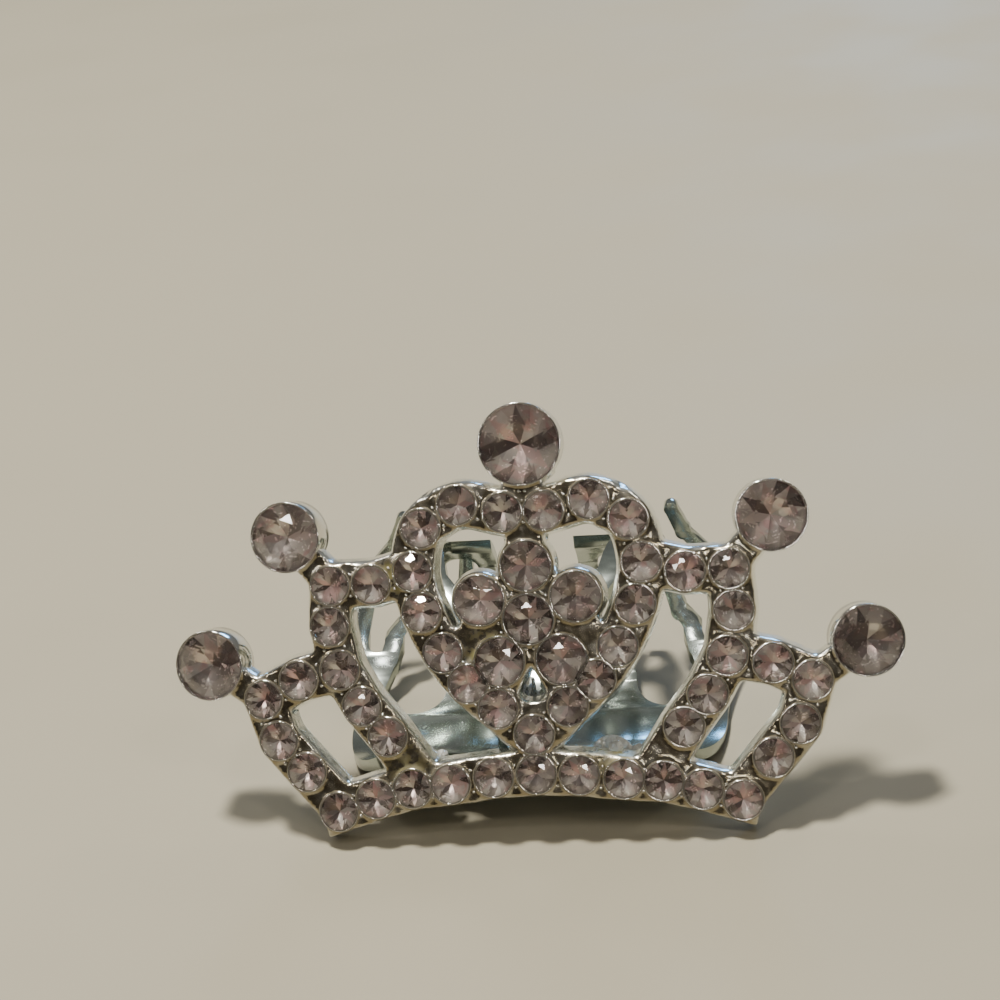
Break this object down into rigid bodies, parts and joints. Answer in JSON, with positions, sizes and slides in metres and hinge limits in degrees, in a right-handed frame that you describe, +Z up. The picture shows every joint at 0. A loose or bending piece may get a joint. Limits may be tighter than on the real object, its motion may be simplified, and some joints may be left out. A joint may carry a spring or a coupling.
{
  "type": "mini tiara on a sprung hair claw",
  "caption": "Small cast tiara with a heart, openwork arms and round cut stones, glued to a sprung steel hair claw that opens on a pin hinge.",
  "frame": {"origin": "bottom centre of the bounding box, on the surface that the tiara rests on", "axes": "+X to the right as seen from the front, +Y to the back where the claw lies, +Z up; the crown leans back 26 degrees"},
  "size_m": [0.0564, 0.0286, 0.0309],
  "materials": {
    "silver_plate": "polished silver plate, brown in the crevices",
    "stone": "clear cut glass, foiled back, faint mauve tint",
    "claw_steel": "polished nickel-plated sheet, blue-grey",
    "pin_steel": "plain steel",
    "spring_steel": "plain spring wire",
    "glue": "clear hard glue, slightly yellow"
  },
  "bodies": {
    "crown": {"crown_frame": "silver_plate", "top_stone": "stone", "upper_stone_left": "stone", "upper_stone_right": "stone", "end_stone_left": "stone", "end_stone_right": "stone", "heart_stone_1": "stone", "heart_stone_2": "stone", "heart_stone_3": "stone", "heart_stone_4": "stone", "heart_stone_5": "stone", "heart_stone_6": "stone", "base_row": "stone", "heart_row": "stone", "upper_arm_row_left": "stone", "upper_arm_row_right": "stone", "lower_arm_row_left": "stone", "lower_arm_row_right": "stone", "lower_jaw": "claw_steel", "hinge_pin": "pin_steel", "torsion_spring": "spring_steel", "glue_left": "glue", "glue_right": "glue"},
    "jaw": {"upper_jaw": "claw_steel"}
  },
  "joints": [
    {"name": "jaw_hinge", "type": "hinge", "parent": "crown", "child": "jaw", "pos_m": [-0.0012, -0.00644, 0.0082], "axis": [1, 0, 0], "range_deg": [0, 22], "stiffness_Nm_per_rad": 0.02, "springref_deg": -28.65}
  ]
}
